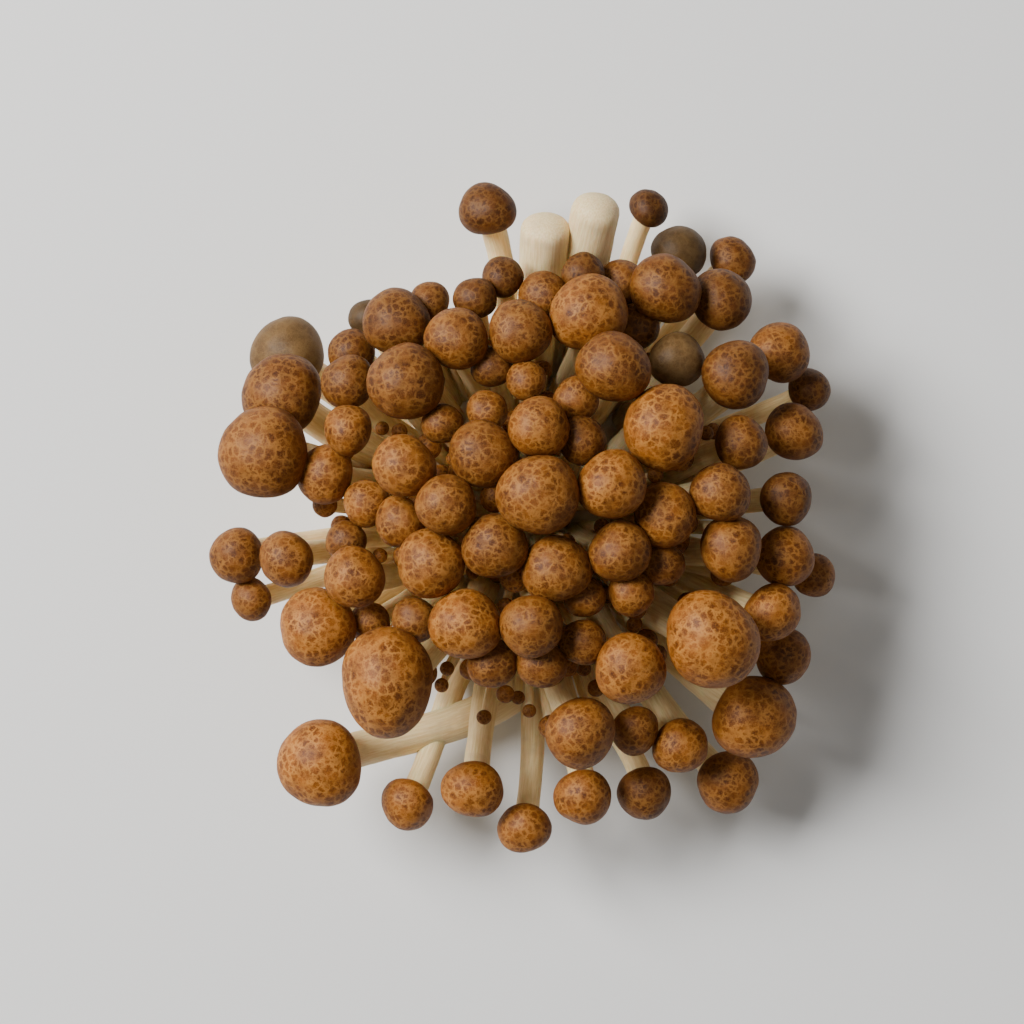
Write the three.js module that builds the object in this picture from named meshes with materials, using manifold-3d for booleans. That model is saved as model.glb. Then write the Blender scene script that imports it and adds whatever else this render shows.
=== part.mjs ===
// A cluster of brown beech mushrooms, cut from its growing block in one piece.
// Millimetres, +Z up. The origin is the centre of the flat cut base that the cluster stands on.
//
// The cream parts are one body: the base, the stems that grow from it, and the gills that each
// stem opens into. A cap sits over its gills. Caps that press into each other are one body.

import * as THREE from 'three';
import { mergeVertices } from 'three/addons/utils/BufferGeometryUtils.js';
import Module from 'manifold-3d';

const wasm = await Module();
wasm.setup();

// ---------------------------------------------------------------- driving dimensions

const BASE_RADIUS = 35; // the trimmed foot of the cluster
const BASE_HEIGHT = 22; // where the stems have all parted
const CROWN_RADIUS = 68; // from the axis to the furthest caps
const CROWN_HEIGHT = 60; // height of a cap's margin at the axis
const CROWN_DROP = 34; // how much lower the margins are at CROWN_RADIUS
const ROOT_SHARE = 0.48; // a stem leaves the base at this share of its cap's distance from the axis
const STRAIGHTENING = 0.5; // how far a leaning stem turns back upright under its cap
const SWAY = 0.16; // how far a cap tilts at random, as a slope
const BOW = 3; // how far a stem bows sideways
const BOW_WAVES = [ // its direction changes across the cluster, in waves along y and along x
  { pace: 0.37, start: 1.3 },
  { pace: 0.41, start: 0.6 },
];
const STEM_HANDLES = { outward: 0.25, upward: 0.15 }; // how a stem sets off from its root
const CLEARANCE = 0.6; // air between a cap and the stems and differently coloured caps beside it
const PRESS = 0.65; // how far caps of one colour may press into each other
const SEAM = 0.45; // height of the gap between a cap and its gills
const SLIVER = 0.03; // detail smaller than this is dropped from the joined body

const CAP_SIDES = 9;
const GILL_SIDES = 10; // every second corner is folded down
const STEM_SIDES = 6;
const BASE_SIDES = 24;

// The mushrooms of the outer ring and the upper layer: x and y of the cap's centre, its diameter,
// and how much higher or lower it stands than the crown does there. A few are pale, and one has
// a cap that is clearly longer along y than it is wide.
const PALE = { pale: true };
const LONG = { oval: 0.11, turn: Math.PI / 2 };
const GROWN = [
  // the far side
  [-8, 66.5, 12.5, -2], [26, 68, 9, -5], [32, 58, 12, -5, PALE], [44, 56.5, 10.5, -4],
  [-11.5, 46.5, 9, 0], [-2, 38.5, 13.5, 0], [12.5, 42, 16.5, 2], [28, 48.5, 15, 2],
  [40.5, 46.5, 13.5, 1], [17, 31, 15, 3],
  // the right side
  [42.5, 30, 14.5, 3], [30.5, 33.5, 12, -6, PALE], [53, 35.5, 13.5, 0], [60.5, 28, 9.5, -3],
  [56, 18.5, 12.5, -2], [43.5, 16, 11.5, 1], [53.5, 4.5, 11.5, 0], [41.5, -6, 13.5, 0], [53.5, -8, 13, -2],
  [61, -12, 9.5, -3], [50.5, -19.5, 12.5, 1], [54, -29.5, 12.5, -3],
  // the near side
  [47, -41, 18.5, -2], [37, -24.5, 20, 5], [43, -57, 14, -3], [20, -30, 15, 2],
  [10, -44, 15, -1], [22, -44.5, 10.5, -7], [-1, -66, 11.5, -1], [-28.5, -33, 21, 5, LONG],
  [32, -48, 12, -3], [25, -58.5, 12, -5], [11.5, -58.5, 12.5, -3], [-12, -57, 13, -3], [-26, -61, 12, -5],
  // the left side
  [-44, -22.5, 16.5, 1], [-36, -12, 13, 0], [-62.5, -7.5, 12, -1], [-59.5, -17, 9.5, -5],
  [-51, -8, 12, -4],
  [-53.5, 14, 19.5, 4], [-43, 9.5, 12.5, -1], [-52, 26, 17.5, 0], [-52, 35, 16.5, -6, PALE],
  [-38, 28.5, 11.5, 1], [-37.5, 18.5, 10.5, 1], [-37.5, 35.2, 10.5, -2.7], [-25.5, 28, 16, 3],
  [-27.5, 41, 14.5, 1], [-34.5, 43, 8.5, -5, PALE],
  // one that sprawls: its stem leaves the foot to one side and bows outwards
  [-44, -52, 19, 3, { sprawl: { root: [4, -29], bow: [8, -12] } }],
];

// Two stems that have lost their caps: x and y of the tip, its height, and the tip's diameter.
const BARE_STEMS = [
  [3.5, 64, 40, 10.5],
  [14.5, 68, 42, 10.5],
];
const BARE_STEM_ARCH = 6; // how far one rises above the straight line, at its control point

// Where GROWN leaves the crown open, more mushrooms fill it on a sunflower spiral: first full-grown
// ones, then young ones that stand lower, in the gaps, each pressed against an older neighbour.
// Each takes the room that is left.
const FILL_CENTRE = [2, 5];
const FULL_GROWN = { within: 38, step: 3.1, least: 12, most: [15, 19], rise: [-2.5, 2.5], overlap: 0.92 };
const YOUNG = { within: 52, step: 1.5, least: 8.5, most: [9.5, 13], rise: [-9, -5], overlap: 0.82 };
const FIRM = 0.3; // how readily a mushroom of GROWN gives way, where one that fills has 1

// ---------------------------------------------------------------- the outlines of the pieces

// Radius and height as shares of the cap's radius, from the crown to the roof under it.
// Height 0 is the edge of the margin.
const CAP_ROOF = 0.62;
const CAP_LIP = { radius: 0.9, height: 0 };
const CAP_PROFILE = [
  [0, 1.2], [0.55, 1.05], [0.9, 0.69], [1, 0.3], [CAP_LIP.radius, CAP_LIP.height], [0, CAP_ROOF],
];
const GILL_OUTER = 0.73; // share of the cap's radius
const GILL_COLLAR = 0.25; // the gills begin this far outside the stem
const GILL_FOLD = 0.1; // depth of the folds, as a share of the cap's radius
const STEM_OVERLAP = 0.25; // a stem ends this deep inside its gills
const CAP_OVAL = 0.05;
const CAP_LOBE = 0.025;

// Radius as a share of the stem's own, and how far along the stem, from root to tip.
const STEM_PROFILE = [[1.25, 0], [1.06, 0.33], [0.96, 0.7], [1, 1]];
const BARE_STEM_PROFILE = [[1.25, 0], [1.1, 0.3], [1, 0.6], [1, 0.93], [0.78, 0.985], [0.4, 1]];
const stemRadius = capDiameter => 0.18 * capDiameter + 0.6;

// Shares of the base's radius and height. What is below 0 is cut off flat.
const BASE_PROFILE = [[0, -0.1], [0.92, -0.1], [1, 0.24], [0.92, 0.52], [0.6, 0.9], [0, 1]];
const BASE_LOBES = [{ count: 3, depth: 0.05, turn: 1 }, { count: 7, depth: 0.03, turn: 0 }];

// The underside of a cap is a cone from its lip to its roof.
const roofHeight = share => CAP_LIP.height + (CAP_ROOF - CAP_LIP.height) * (1 - share / CAP_LIP.radius);

// ---------------------------------------------------------------- small tools

const UP = new THREE.Vector3(0, 0, 1);
const SAME_POINT = 1e-3;
const GOLDEN_ANGLE = Math.PI * (3 - Math.sqrt(5));

// A repeatable random number from 0 to 1.
const SEED = 13;
const LEHMER = { factor: 16807, modulus: 2 ** 31 - 1 };
let drawn = SEED;
function random() {
  drawn = (drawn * LEHMER.factor) % LEHMER.modulus;
  return drawn / LEHMER.modulus;
}
const between = (low, high) => low + (high - low) * random();

function lathe(profile, sides) {
  const points = profile.map(([radius, height]) => new THREE.Vector2(radius, height));
  return new THREE.LatheGeometry(points, sides).rotateX(Math.PI / 2).rotateZ(Math.PI / 2);
}

// Moves every vertex of a geometry by a function of its position.
function reshape(geometry, move) {
  const position = geometry.getAttribute('position');
  const point = new THREE.Vector3();
  for (let i = 0; i < position.count; i++) {
    move(point.fromBufferAttribute(position, i));
    position.setXYZ(i, point.x, point.y, point.z);
  }
  return geometry;
}

// One vertex per point, and no triangles that have shrunk to nothing at a pole.
function weld(geometry) {
  const bare = new THREE.BufferGeometry().setIndex(geometry.index);
  bare.setAttribute('position', geometry.getAttribute('position').clone());
  const merged = mergeVertices(bare, SAME_POINT);
  const kept = [];
  for (let i = 0; i < merged.index.count; i += 3) {
    const corners = [0, 1, 2].map(k => merged.index.getX(i + k));
    if (new Set(corners).size === 3) kept.push(...corners);
  }
  return merged.setIndex(kept);
}

function toSolid(geometry) {
  const welded = weld(geometry);
  return new wasm.Manifold(new wasm.Mesh({
    numProp: 3,
    vertProperties: welded.getAttribute('position').array,
    triVerts: new Uint32Array(welded.index.array),
  }));
}

function toGeometry(solid) {
  const { vertProperties, triVerts } = solid.getMesh();
  const geometry = new THREE.BufferGeometry();
  geometry.setAttribute('position', new THREE.BufferAttribute(new Float32Array(vertProperties), 3));
  geometry.setIndex(new THREE.BufferAttribute(new Uint32Array(triVerts), 1));
  geometry.computeVertexNormals();
  return geometry;
}

// ---------------------------------------------------------------- how one mushroom grows

// Sizes and places as shares of the cap's radius.
const CROWN_BALL = { height: 0.42, size: 0.79 };
const MARGIN_BALLS = { count: 9, reach: 0.55, height: 0.31, size: 0.5 };

class Mushroom {
  // The habit is what sets one mushroom apart. An oval it doesn't name is drawn at random.
  constructor(x, y, z, diameter, habit = {}) {
    const { oval, turn, pale = false, sprawl = null, yields = 1, neighbour = null } = habit;
    this.target = new THREE.Vector3(x, y, z);
    this.place = this.target.clone(); // centre of the cap's margin
    this.radius = diameter / 2;
    this.stemRadius = stemRadius(diameter);
    this.sway = new THREE.Vector3(between(-SWAY, SWAY), between(-SWAY, SWAY), 0);
    this.turn = turn ?? between(0, Math.PI);
    this.oval = oval ?? between(0, CAP_OVAL);
    this.yields = yields;
    this.pale = pale;
    this.sprawl = sprawl;
    this.neighbour = neighbour; // the older one that a young one is pressed against
    this.grow();
  }

  // The root, the cap's axis and the stem's curve all follow from where the cap is.
  grow() {
    const { place, sprawl } = this;
    const root = new THREE.Vector3(ROOT_SHARE * place.x, ROOT_SHARE * place.y, 0);
    const [sideways, lengthways] = BOW_WAVES;
    const bow = new THREE.Vector3(
      BOW * Math.sin(sideways.pace * place.y + sideways.start),
      BOW * Math.sin(lengthways.pace * place.x + lengthways.start),
      0,
    );
    if (sprawl) {
      root.set(...sprawl.root, 0);
      bow.set(...sprawl.bow, 0);
    }
    const lean = place.clone().sub(root).normalize();
    this.axis = lean.lerp(UP, STRAIGHTENING).add(this.sway).normalize();
    this.attitude = new THREE.Quaternion().setFromUnitVectors(UP, this.axis);
    const third = place.distanceTo(root) / 3;
    const { outward, upward } = STEM_HANDLES;
    this.stem = new THREE.CubicBezierCurve3(
      root,
      root.clone().lerp(place, outward).addScaledVector(UP, upward * third).add(bow),
      place.clone().addScaledVector(this.axis, -third),
      place.clone().addScaledVector(this.axis, STEM_OVERLAP),
    );
  }

  // The outline of the cap seen along its axis: nearly round, a little oval and lobed.
  outline(angle) {
    return 1 + this.oval * Math.cos(2 * (angle - this.turn)) + CAP_LOBE * Math.cos(3 * (angle + this.turn));
  }

  // Balls that fill the cap, for keeping neighbours apart: one in the crown and a ring in the margin.
  balls() {
    const { radius } = this;
    const made = [{ at: [0, 0, CROWN_BALL.height], size: CROWN_BALL.size }];
    for (let i = 0; i < MARGIN_BALLS.count; i++) {
      const angle = (i / MARGIN_BALLS.count) * 2 * Math.PI;
      const reach = MARGIN_BALLS.reach * this.outline(angle);
      const at = [reach * Math.cos(angle), reach * Math.sin(angle), MARGIN_BALLS.height];
      made.push({ at, size: MARGIN_BALLS.size });
    }
    return made.map(({ at, size }) => ({
      at: new THREE.Vector3(...at).multiplyScalar(radius).applyQuaternion(this.attitude).add(this.place),
      size: size * radius,
    }));
  }
}

const crownHeight = (x, y) => CROWN_HEIGHT - CROWN_DROP * (x * x + y * y) / CROWN_RADIUS ** 2;

function fill(mushrooms, { within, step, least, most, rise, overlap }, young) {
  const grown = [...mushrooms];
  for (let k = 0; step * Math.sqrt(k) < within; k++) {
    const distance = step * Math.sqrt(k);
    const x = FILL_CENTRE[0] + distance * Math.cos(k * GOLDEN_ANGLE);
    const y = FILL_CENTRE[1] + distance * Math.sin(k * GOLDEN_ANGLE);
    const z = crownHeight(x, y) + between(...rise);
    const room = mushrooms.map(m => {
      const distanceToIt = Math.hypot(m.target.x - x, m.target.y - y);
      return 2 * (distanceToIt / overlap - m.radius);
    });
    const diameter = Math.min(between(...most), ...room);
    if (diameter < least) continue;
    const gapTo = m => m.target.distanceTo(new THREE.Vector3(x, y, z)) - m.radius;
    const nearest = grown.filter(m => !m.pale).sort((a, b) => gapTo(a) - gapTo(b))[0];
    mushrooms.push(new Mushroom(x, y, z, diameter, { neighbour: young ? nearest : null }));
  }
}

function plant() {
  const mushrooms = GROWN.map(([x, y, diameter, rise, habit]) =>
    new Mushroom(x, y, crownHeight(x, y) + rise, diameter, { yields: FIRM, ...habit }));
  fill(mushrooms, FULL_GROWN, false);
  fill(mushrooms, YOUNG, true);
  return mushrooms;
}

// ---------------------------------------------------------------- how they crowd one another

const SETTLING_STEPS = 320;
const FREE_STEPS = 180; // at the end nothing pulls a mushroom back to its target
const PULL = { sideways: 0.12, upwards: 0.03 }; // share of the way back to the target in a step
const PUSH = 0.3; // share of an overlap that a step takes away
const STEM_SAMPLES = 7;
const FIRST_FREE_SAMPLE = 2; // below it the stems are one mass
const CAP_REACH = 1.6; // no part of a cap is further from its place, in radii
const BALL_REACH = 1.4; // nor is the edge of any of its balls

// Balls that fill the part of a stem that stands free.
function stemBalls(curve, size) {
  const made = [];
  for (let i = FIRST_FREE_SAMPLE; i < STEM_SAMPLES; i++) {
    made.push({ at: curve.getPoint(i / STEM_SAMPLES), size });
  }
  return made;
}

// Moves the caps of a and b apart where a ball of a's cap comes closer than the gap to a ball of b.
function pushApart(a, b, balls, gap) {
  const push = new THREE.Vector3();
  const share = a.yields / (a.yields + b.yields);
  for (const other of balls) {
    if (other.at.distanceTo(a.place) > BALL_REACH * a.radius + other.size + CLEARANCE) continue;
    for (const ball of a.capBalls) {
      push.subVectors(ball.at, other.at);
      const depth = ball.size + other.size + gap - push.length();
      if (depth <= 0) continue;
      push.setLength(depth * PUSH);
      a.place.addScaledVector(push, share);
      b.place.addScaledVector(push, share - 1);
    }
  }
}

// Brings a young cap against its neighbour's where they have come apart.
function keepTogether(young) {
  const pull = new THREE.Vector3();
  let least = Infinity;
  for (const ball of young.capBalls) {
    for (const other of young.neighbour.capBalls) {
      const gap = ball.at.distanceTo(other.at) - ball.size - other.size + PRESS;
      if (gap > least) continue;
      least = gap;
      pull.subVectors(other.at, ball.at);
    }
  }
  if (least > 0) young.place.addScaledVector(pull.normalize(), least * PUSH);
}

// Caps that crowd each other give way. So does a cap that touches another mushroom's stem.
function settle(mushrooms) {
  const bareStems = BARE_STEMS.map(stem => ({
    place: new THREE.Vector3(),
    yields: 0,
    stemBalls: stemBalls(bareStemCurve(stem), stem[3] / 2),
  }));
  for (let step = 0; step < SETTLING_STEPS; step++) {
    for (const m of mushrooms) {
      m.grow();
      m.capBalls = m.balls();
      m.stemBalls = stemBalls(m.stem, m.stemRadius);
    }
    for (const a of mushrooms) {
      for (const b of [...mushrooms, ...bareStems]) {
        if (a === b) continue;
        pushApart(a, b, b.stemBalls, CLEARANCE);
        if (!b.capBalls || a.radius < b.radius) continue;
        const near = a.place.distanceTo(b.place) < CAP_REACH * (a.radius + b.radius + CLEARANCE);
        if (near) pushApart(a, b, b.capBalls, a.pale === b.pale ? -PRESS : CLEARANCE);
      }
      if (a.neighbour) keepTogether(a);
    }
    if (step >= SETTLING_STEPS - FREE_STEPS) continue;
    for (const m of mushrooms) {
      m.place.x += PULL.sideways * (m.target.x - m.place.x);
      m.place.y += PULL.sideways * (m.target.y - m.place.y);
      m.place.z += PULL.upwards * (m.target.z - m.place.z);
    }
  }
  mushrooms.forEach(m => m.grow());
}

// ---------------------------------------------------------------- the pieces as geometry

function capGeometry(m) {
  const profile = CAP_PROFILE.map(([radius, height]) => [radius * m.radius, height * m.radius]);
  return reshape(lathe(profile.reverse(), CAP_SIDES), point => {
    const scale = m.outline(Math.atan2(point.y, point.x));
    point.set(point.x * scale, point.y * scale, point.z);
  });
}

// The gills: a cone that fills the underside of the cap, its rim folded into radial ridges.
function gillGeometry(m) {
  const collar = m.stemRadius + GILL_COLLAR;
  const rim = GILL_OUTER * m.radius;
  const profile = [
    [0, 0], [collar, 0], [rim, roofHeight(GILL_OUTER) * m.radius - SEAM], [0, CAP_ROOF * m.radius - SEAM],
  ];
  return reshape(lathe(profile, GILL_SIDES), point => {
    const angle = Math.atan2(point.y, point.x);
    const side = Math.round((angle / (2 * Math.PI)) * GILL_SIDES);
    const onRim = Math.abs(Math.hypot(point.x, point.y) - rim) < SAME_POINT;
    const fold = onRim && side % 2 ? GILL_FOLD * m.radius : 0;
    const scale = m.outline(angle);
    point.set(point.x * scale, point.y * scale, point.z - fold);
  });
}

// A turned blank, its height running from 0 to 1, is bent and stretched along a curve.
function stemGeometry(curve, radius, outline) {
  const profile = [[0, 0], ...outline.map(([share, along]) => [share * radius, along]), [0, 1]];
  return reshape(lathe(profile, STEM_SIDES), point => {
    const { x, y, z: along } = point;
    const tangent = curve.getTangent(along);
    const across = new THREE.Vector3(1, 0, 0).addScaledVector(tangent, -tangent.x).normalize();
    const side = new THREE.Vector3().crossVectors(tangent, across);
    point.copy(curve.getPoint(along)).addScaledVector(across, x).addScaledVector(side, y);
  });
}

function bareStemCurve([x, y, z]) {
  const root = new THREE.Vector3(ROOT_SHARE * x, ROOT_SHARE * y, 0);
  const tip = new THREE.Vector3(x, y, z);
  const bend = root.clone().lerp(tip, 0.5).addScaledVector(UP, BARE_STEM_ARCH);
  return new THREE.QuadraticBezierCurve3(root, bend, tip);
}

function baseGeometry() {
  const profile = BASE_PROFILE.map(([radius, height]) => [radius * BASE_RADIUS, height * BASE_HEIGHT]);
  return reshape(lathe(profile, BASE_SIDES), point => {
    const angle = Math.atan2(point.y, point.x);
    let scale = 1;
    for (const { count, depth, turn } of BASE_LOBES) scale += depth * Math.cos(count * angle + turn);
    point.set(point.x * scale, point.y * scale, point.z);
  });
}

// ---------------------------------------------------------------- the cluster

function finish(name, color, roughness) {
  return new THREE.MeshStandardMaterial({ name, color, roughness, metalness: 0 });
}
const FLESH = finish('mushroom_flesh', 0xe2d3b4, 0.7);
const CAP_SKIN = finish('brown_cap_skin', 0xa8703f, 0.5);
const PALE_CAP_SKIN = finish('pale_cap_skin', 0xbfa27e, 0.5);

const cluster = new THREE.Group();
cluster.name = 'beech_mushroom_cluster';

function addPiece(name, geometry, material) {
  const mesh = new THREE.Mesh(geometry, material);
  mesh.name = name;
  cluster.add(mesh);
  return mesh;
}

// Gives each mushroom its cap and its stalk, the stem with the gills. A young one whose cap would
// run into a stalk, or hold on to no cap, found no room and is left out.
function grownToSize(mushrooms) {
  const kept = [];
  const meet = (first, second) => !first.intersect(second).isEmpty();
  for (const m of mushrooms) {
    const gills = gillGeometry(m).applyQuaternion(m.attitude).translate(...m.place);
    m.stalk = toSolid(stemGeometry(m.stem, m.stemRadius, STEM_PROFILE)).add(toSolid(gills));
    m.cap = toSolid(capGeometry(m).applyQuaternion(m.attitude).translate(...m.place));
    const crowded = kept.some(o =>
      meet(m.cap, o.stalk) || meet(o.cap, m.stalk) || (m.pale !== o.pale && meet(m.cap, o.cap)));
    const held = kept.some(o => m.pale === o.pale && meet(m.cap, o.cap));
    if (!m.neighbour || (held && !crowded)) kept.push(m);
  }
  return kept;
}

// Base, stems and gills are joined, then one flat cut takes off what is below the base.
function creamBody(mushrooms) {
  const bareStems = BARE_STEMS.map(stem =>
    stemGeometry(bareStemCurve(stem), stem[3] / 2, BARE_STEM_PROFILE));
  const grown = [baseGeometry(), ...bareStems].map(toSolid);
  const wide = 4 * BASE_RADIUS;
  const waste = new THREE.BoxGeometry(wide, wide, BASE_HEIGHT).translate(0, 0, -BASE_HEIGHT / 2);
  const joined = wasm.Manifold.union([...grown, ...mushrooms.map(m => m.stalk)]).subtract(toSolid(waste));
  return toGeometry(joined.asOriginal().simplify(SLIVER));
}

// Each group of caps that hold together is a body of its own, numbered by its place round the
// cluster.
function addCaps(prefix, caps, material) {
  const bodies = wasm.Manifold.union(caps.map(m => m.cap)).decompose().map(toGeometry);
  const centre = body => new THREE.Box3().setFromBufferAttribute(body.getAttribute('position'))
    .getCenter(new THREE.Vector3());
  const bearing = body => Math.atan2(centre(body).y, centre(body).x);
  bodies.sort((a, b) => bearing(a) - bearing(b)).forEach((body, i) => {
    const { x, y, z } = centre(body);
    const name = `${prefix}_${String(i + 1).padStart(2, '0')}`;
    addPiece(name, body.translate(-x, -y, -z), material).position.set(x, y, z);
  });
}

const planted = plant();
settle(planted);
const mushrooms = grownToSize(planted);

addPiece('base_stems_and_gills', creamBody(mushrooms), FLESH);
addCaps('caps', mushrooms.filter(m => !m.pale), CAP_SKIN);
addCaps('pale_caps', mushrooms.filter(m => m.pale), PALE_CAP_SKIN);

export default cluster;
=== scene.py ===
import itertools
import math
import random

import bmesh
import bpy
import numpy
from mathutils import Matrix, Vector, noise
from mathutils.geometry import interpolate_bezier


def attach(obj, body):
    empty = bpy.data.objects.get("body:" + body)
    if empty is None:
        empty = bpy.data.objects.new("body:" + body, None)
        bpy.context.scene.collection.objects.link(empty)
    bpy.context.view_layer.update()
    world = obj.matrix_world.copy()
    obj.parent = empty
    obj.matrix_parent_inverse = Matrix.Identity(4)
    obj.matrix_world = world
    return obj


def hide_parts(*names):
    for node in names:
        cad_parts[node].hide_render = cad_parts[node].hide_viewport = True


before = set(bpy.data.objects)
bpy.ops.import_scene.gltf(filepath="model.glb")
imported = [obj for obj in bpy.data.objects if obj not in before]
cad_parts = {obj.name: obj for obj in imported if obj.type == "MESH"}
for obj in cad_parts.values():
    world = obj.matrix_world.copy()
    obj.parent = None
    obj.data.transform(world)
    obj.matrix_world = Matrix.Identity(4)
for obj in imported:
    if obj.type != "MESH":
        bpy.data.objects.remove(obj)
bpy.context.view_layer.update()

# A cluster of brown beech mushrooms, lifted whole from its growing block: marbled brown caps on
# cream stems that run together in one foot, cut flat underneath. Sizes are in millimetres until
# a mesh is finished, then in metres.
MM = 0.001
UP = Vector((0, 0, 1))


# ------------------------------------------------------------------------------ the camera
# It looks straight down on the caps from half a metre above them.
LOOKS_AT = Vector((-3.8, 1.7, 45))
VIEW_WIDTH = 215  # across the picture, at the height it looks at
LENS = 85
SENSOR = 36

camera_data = bpy.data.cameras.new("camera_above")
camera_data.lens = LENS
camera_data.sensor_width = SENSOR
camera = bpy.data.objects.new("camera_above", camera_data)
camera.location = (LOOKS_AT + UP * VIEW_WIDTH * LENS / SENSOR) * MM
bpy.context.scene.collection.objects.link(camera)
bpy.context.scene.camera = camera


# ------------------------------------------------------------------------------ the caps
# Each cap is one thick dome of flesh under a thin skin, with its margin curled in over the gills.
# The skin of a brown cap is marbled: brown cells in a paler net, which fades towards the margin.
# A few caps grew in the dark under their neighbours and stayed dull and nearly plain.
CAP_TOP = 1.2  # heights and radii as shares of the cap's radius, from the edge of the margin
CAP_ROOF = 0.62  # the middle of its underside, over the gills
CAP_WIDEST = 0.3
CAP_RISE = CAP_TOP - CAP_WIDEST
LIP_RADIUS = 0.14
LIP_TURN = math.radians(125)
UNDERSIDE = [(0.6, 0.28, 2.5), (0, CAP_ROOF, 3)]  # (radius, height, margin) inside the lip
CAP_SIDES = 72
DOME_RINGS = 22
LIP_RINGS = 7
LUMPS = (0.035, 1.3)  # how high they are, as a share of the cap's radius, and how close together
FINE_LUMPS = (0.012, 3.5)
MARGIN_WAVES = (0.03, 1.8)
NEXT_PATTERN = Vector((31.7, 17.3, 7.1))  # from one cap's place in the noise to the next one's
NEXT_WAVES = 3.3
SOLID_SIDES = 9  # the plain solid has this many, so that many edges meet at each end of its axis
SOLID_RINGS = [(0.55, 1.05), (0.9, 0.69), (1, CAP_WIDEST), (0.9, 0)]  # (radius, height) in it
SOLID_OVAL = 0.15  # the most that a solid's outline departs from round
RING_SLACK = 0.004  # how far off its ring's height a point may be
FEWEST_POINTS = 14  # how many have to lie on the rings between two ends that belong to one cap
WELD = 1e-5
FULL_CELL_RADIUS = 10  # the skin's cells are full size on a cap this big, and finer on smaller ones
TONES = (0.58, 1.0)  # how dark or light the skins are
LOW_CAP_SHADE = 0.6  # painted shade: how much of its brightness a cap low down keeps
# caps this high and higher get no painted shade
UNSHADED_HEIGHT = 50
SHADE_TOWARDS_FAR_SIDE = 0.0044  # a millimetre: painted light and shade, paler on the near side and darker towards the far side
YOUNG_TONE = 0.62  # caps fade as they grow
AGEING = 0.042


def ring_points(points, place, attitude, radius):
    """(angle, how far out as a share of round) of the points that lie on the rings of this cap."""
    found = []
    for point in points:
        own = attitude.inverted() @ (point - place) / radius
        for ring, height in SOLID_RINGS:
            share = own.xy.length / ring
            if abs(own.z - height) < RING_SLACK and abs(share - 1) < SOLID_OVAL:
                found.append((math.atan2(own.y, own.x), share))
    return found


def find_caps(node):
    """The caps in a solid, from pairs of points that may be the two ends of a cap's axis."""
    solid = bmesh.new()
    solid.from_mesh(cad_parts[node].data)
    bmesh.ops.remove_doubles(solid, verts=solid.verts, dist=WELD)
    points = [v.co / MM for v in solid.verts]
    poles = [v.co / MM for v in solid.verts if len(v.link_edges) >= SOLID_SIDES]
    solid.free()
    guesses = []
    for top, roof in itertools.permutations(poles, 2):
        axis = (top - roof).normalized()
        radius = (top - roof).length / (CAP_TOP - CAP_ROOF)
        place = top - axis * CAP_TOP * radius
        attitude = UP.rotation_difference(axis)
        ring = ring_points(points, place, attitude, radius)
        if len(ring) >= FEWEST_POINTS:
            guesses.append((top, roof, ring, {
                "node": node, "place": place, "axis": axis, "radius": radius, "attitude": attitude,
            }))
    caps, taken = [], []
    for top, roof, ring, cap in sorted(guesses, key=lambda guess: -len(guess[2])):
        if top in taken or roof in taken:
            continue
        taken += [top, roof]
        waves = [
            [1, math.cos(2 * angle), math.sin(2 * angle), math.cos(3 * angle), math.sin(3 * angle)]
            for angle, share in ring
        ]
        shares = [share for angle, share in ring]
        cap["waves"] = numpy.linalg.lstsq(numpy.array(waves), numpy.array(shares), rcond=None)[0]
        caps.append(cap)
    return caps


def outline(cap, angle):
    """The cap's outline seen along its axis: a little oval and a little three-lobed."""
    even, two, two_turned, three, three_turned = cap["waves"]
    lobes = three * math.cos(3 * angle) + three_turned * math.sin(3 * angle)
    return even + two * math.cos(2 * angle) + two_turned * math.sin(2 * angle) + lobes


def cap_profile(dome_rings, lip_rings):
    """(radius, height, margin) down the dome, where the margin is 0 to 1, and round the lip, 1 to 2."""
    points = []
    for i in range(dome_rings):
        turn = math.pi / 2 * i / dome_rings
        points.append((math.sin(turn), CAP_WIDEST + CAP_RISE * math.cos(turn), i / dome_rings))
    for i in range(lip_rings + 1):
        turn = LIP_TURN * i / lip_rings
        radius = 1 - LIP_RADIUS + LIP_RADIUS * math.cos(turn)
        points.append((radius, CAP_WIDEST * (1 - math.sin(turn)), 1 + i / lip_rings))
    return points + UNDERSIDE


def turned_blank(profile, sides, measure):
    """A form turned about +Z from (radius, height, value); the value stays on its points as `measure`."""
    blank = bmesh.new()
    layer = blank.verts.layers.float.new(measure)
    blank.verts.layers.float_vector.new("own_place")
    chain = []
    for radius, height, value in profile:
        vert = blank.verts.new((radius, 0, height))
        vert[layer] = value
        chain.append(vert)
    edges = [blank.edges.new(pair) for pair in zip(chain, chain[1:])]
    bmesh.ops.spin(
        blank, geom=chain + edges, cent=(0, 0, 0), axis=(0, 0, 1), angle=2 * math.pi,
        steps=sides, use_merge=True,
    )
    bmesh.ops.remove_doubles(blank, verts=blank.verts, dist=WELD)
    bmesh.ops.recalc_face_normals(blank, faces=blank.faces)
    return blank


def join(whole, part):
    """Adds a finished form to the others of its piece."""
    mesh = bpy.data.meshes.new("part")
    part.to_mesh(mesh)
    part.free()
    whole.from_mesh(mesh)
    bpy.data.meshes.remove(mesh)


def make_object(name, bm, material):
    """Turns a bmesh in millimetres into a smooth object at the origin that rides on the root body."""
    bmesh.ops.scale(bm, vec=(MM, MM, MM), verts=bm.verts)
    mesh = bpy.data.meshes.new(name)
    bm.to_mesh(mesh)
    bm.free()
    mesh.shade_smooth()
    mesh.materials.append(material)
    piece = bpy.data.objects.new(name, mesh)
    bpy.context.scene.collection.objects.link(piece)
    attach(piece, "root")
    return piece


def unevenness(place, height, closeness, offset=Vector((0, 0, 0))):
    """How far a surface stands out or in at this place."""
    return height * noise.noise(place * closeness + offset)


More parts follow.
